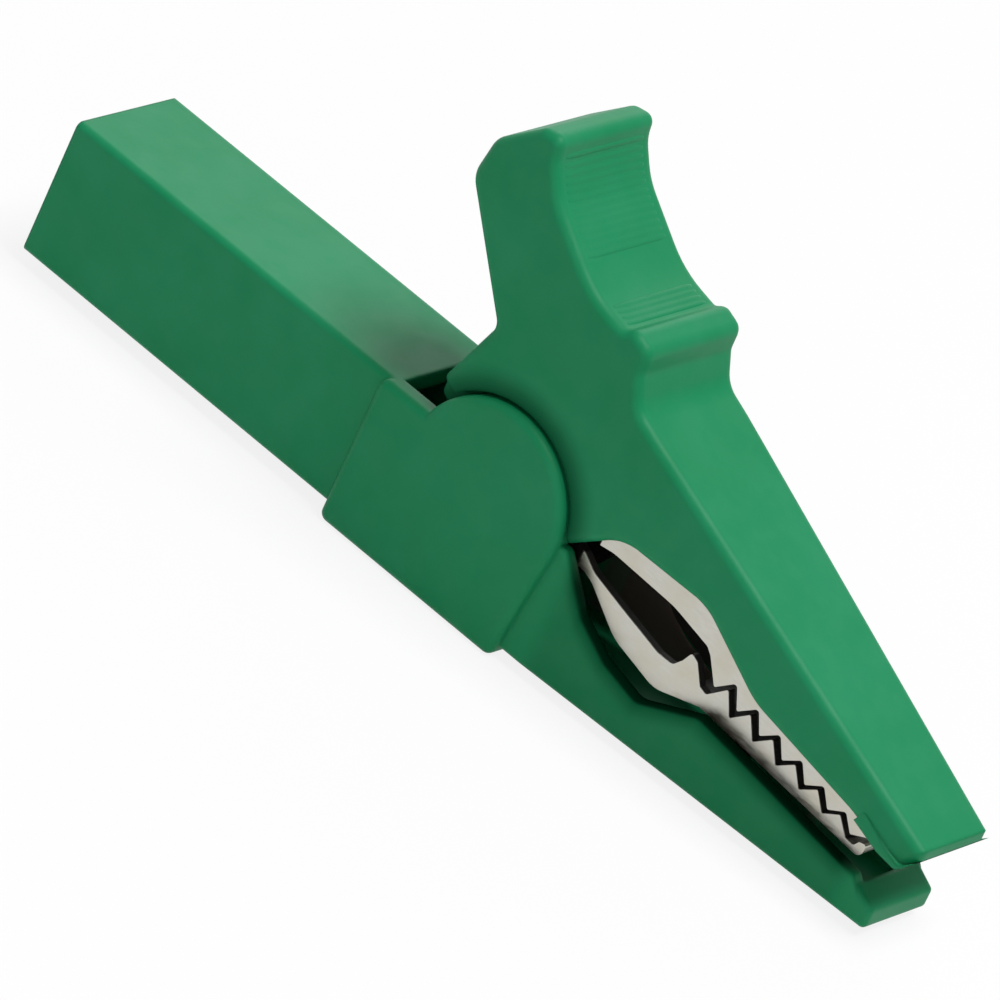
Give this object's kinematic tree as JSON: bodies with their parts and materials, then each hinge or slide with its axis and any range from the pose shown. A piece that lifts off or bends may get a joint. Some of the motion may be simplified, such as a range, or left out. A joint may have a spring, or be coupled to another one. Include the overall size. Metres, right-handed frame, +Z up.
{
  "type": "crocodile clip",
  "caption": "Insulated crocodile clip: a sprung lever jaw over a fixed jaw, meshing metal teeth under plastic covers, and a shrouded socket for a test lead's plug in its square tail.",
  "frame": {"origin": "on the surface that the clip lies on, under the middle of its length and width", "axes": "+X from the tail to the nose, +Y across the clip, +Z up, jaws closed"},
  "size_m": [0.0832, 0.0126, 0.0355],
  "materials": {
    "green_plastic": "moulded, satin to semi-gloss",
    "jaw_metal": "nickel plated, satin",
    "pin_steel": "turned, plated",
    "spring_steel": "drawn wire, plated",
    "socket_metal": "turned brass, nickel plated",
    "screw_steel": "zinc plated"
  },
  "bodies": {
    "lower_half": {"lower_housing": "green_plastic", "lower_jaw": "jaw_metal", "hinge_pin": "pin_steel", "torsion_spring": "spring_steel", "contact_socket": "socket_metal", "socket_screw": "screw_steel", "lock_washer": "screw_steel"},
    "upper_half": {"upper_housing": "green_plastic", "upper_jaw": "jaw_metal"}
  },
  "joints": [
    {"name": "jaw_hinge", "type": "hinge", "parent": "lower_half", "child": "upper_half", "pos_m": [0.0004, 0, 0.00975], "axis": [0, -1, 0], "range_deg": [0, 20], "stiffness_Nm_per_rad": 0.06, "springref_deg": -22.92, "deforming": ["torsion_spring"]}
  ]
}
